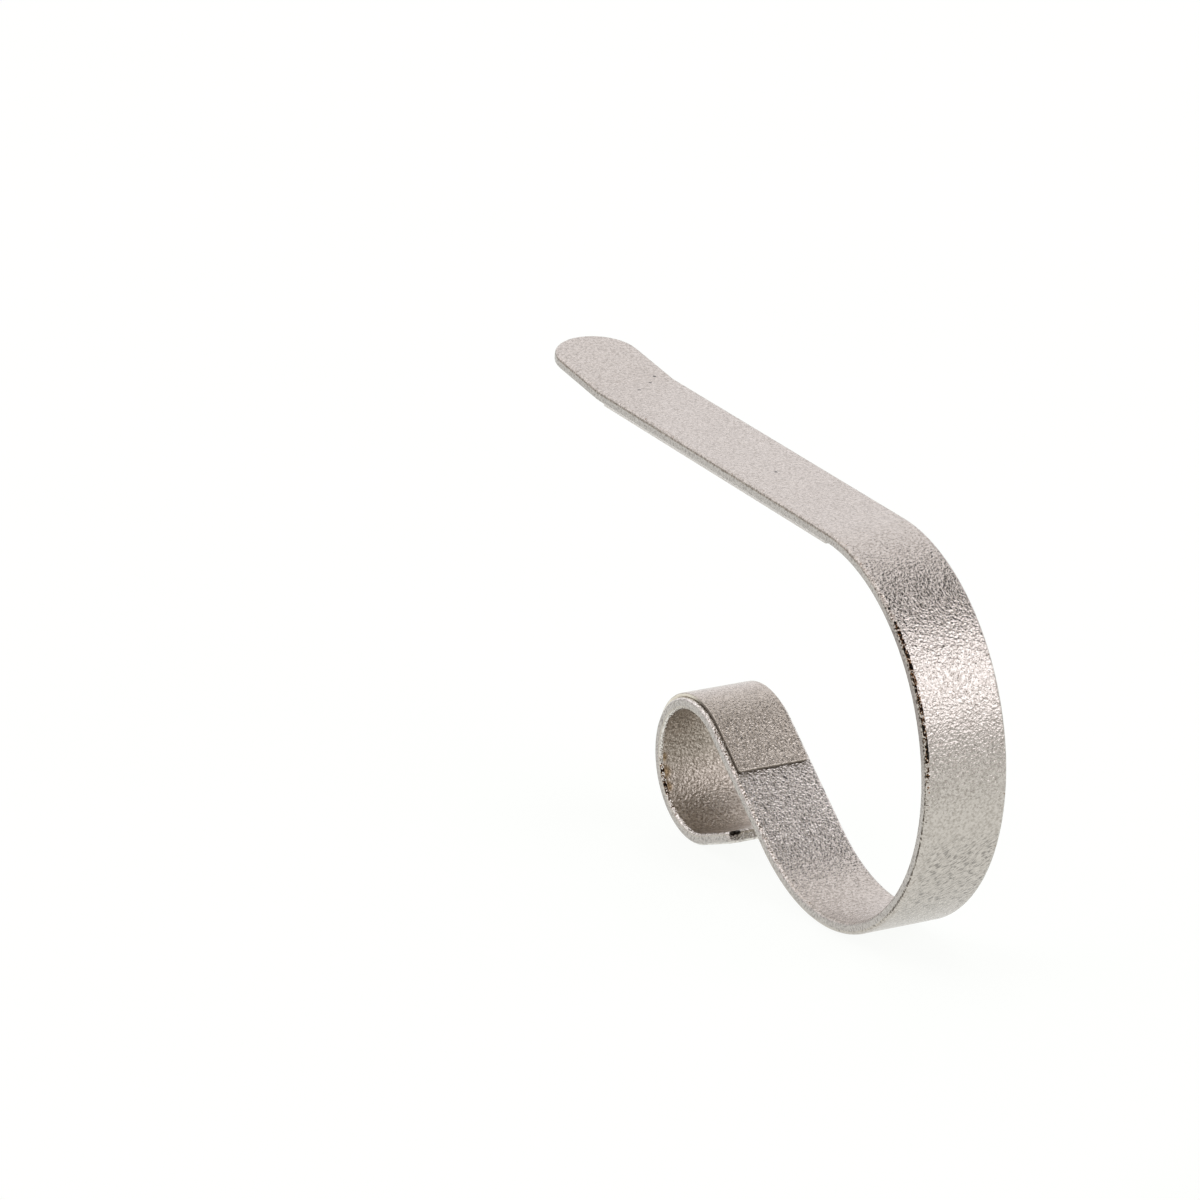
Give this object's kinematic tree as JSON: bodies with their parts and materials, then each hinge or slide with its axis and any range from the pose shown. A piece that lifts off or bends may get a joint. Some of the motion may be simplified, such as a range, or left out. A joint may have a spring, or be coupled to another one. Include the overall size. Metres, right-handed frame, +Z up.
{
  "type": "mantel stocking holder",
  "caption": "Flat metal bar bent into a mantel shelf clip: a long arm with an upturned round tip, a round front bow, an open hook and a closed curl, with thin grip pads on arm and curl.",
  "frame": {"origin": "on the table under the middle of the clip, at the centre of the bottom of its box", "axes": "+X across the bar, +Y back along the arm to its tip, +Z up, as the clip stands on its hook and its curl"},
  "size_m": [0.019, 0.1651, 0.0939],
  "materials": {
    "satin_nickel": "satin nickel plate over a finely pebbled steel surface",
    "grip_pad": "soft translucent taupe sheet with a fine grain"
  },
  "bodies": {
    "root": {"bent_bar": "satin_nickel", "arm_grip_pad": "grip_pad", "curl_grip_pad": "grip_pad"}
  },
  "joints": []
}
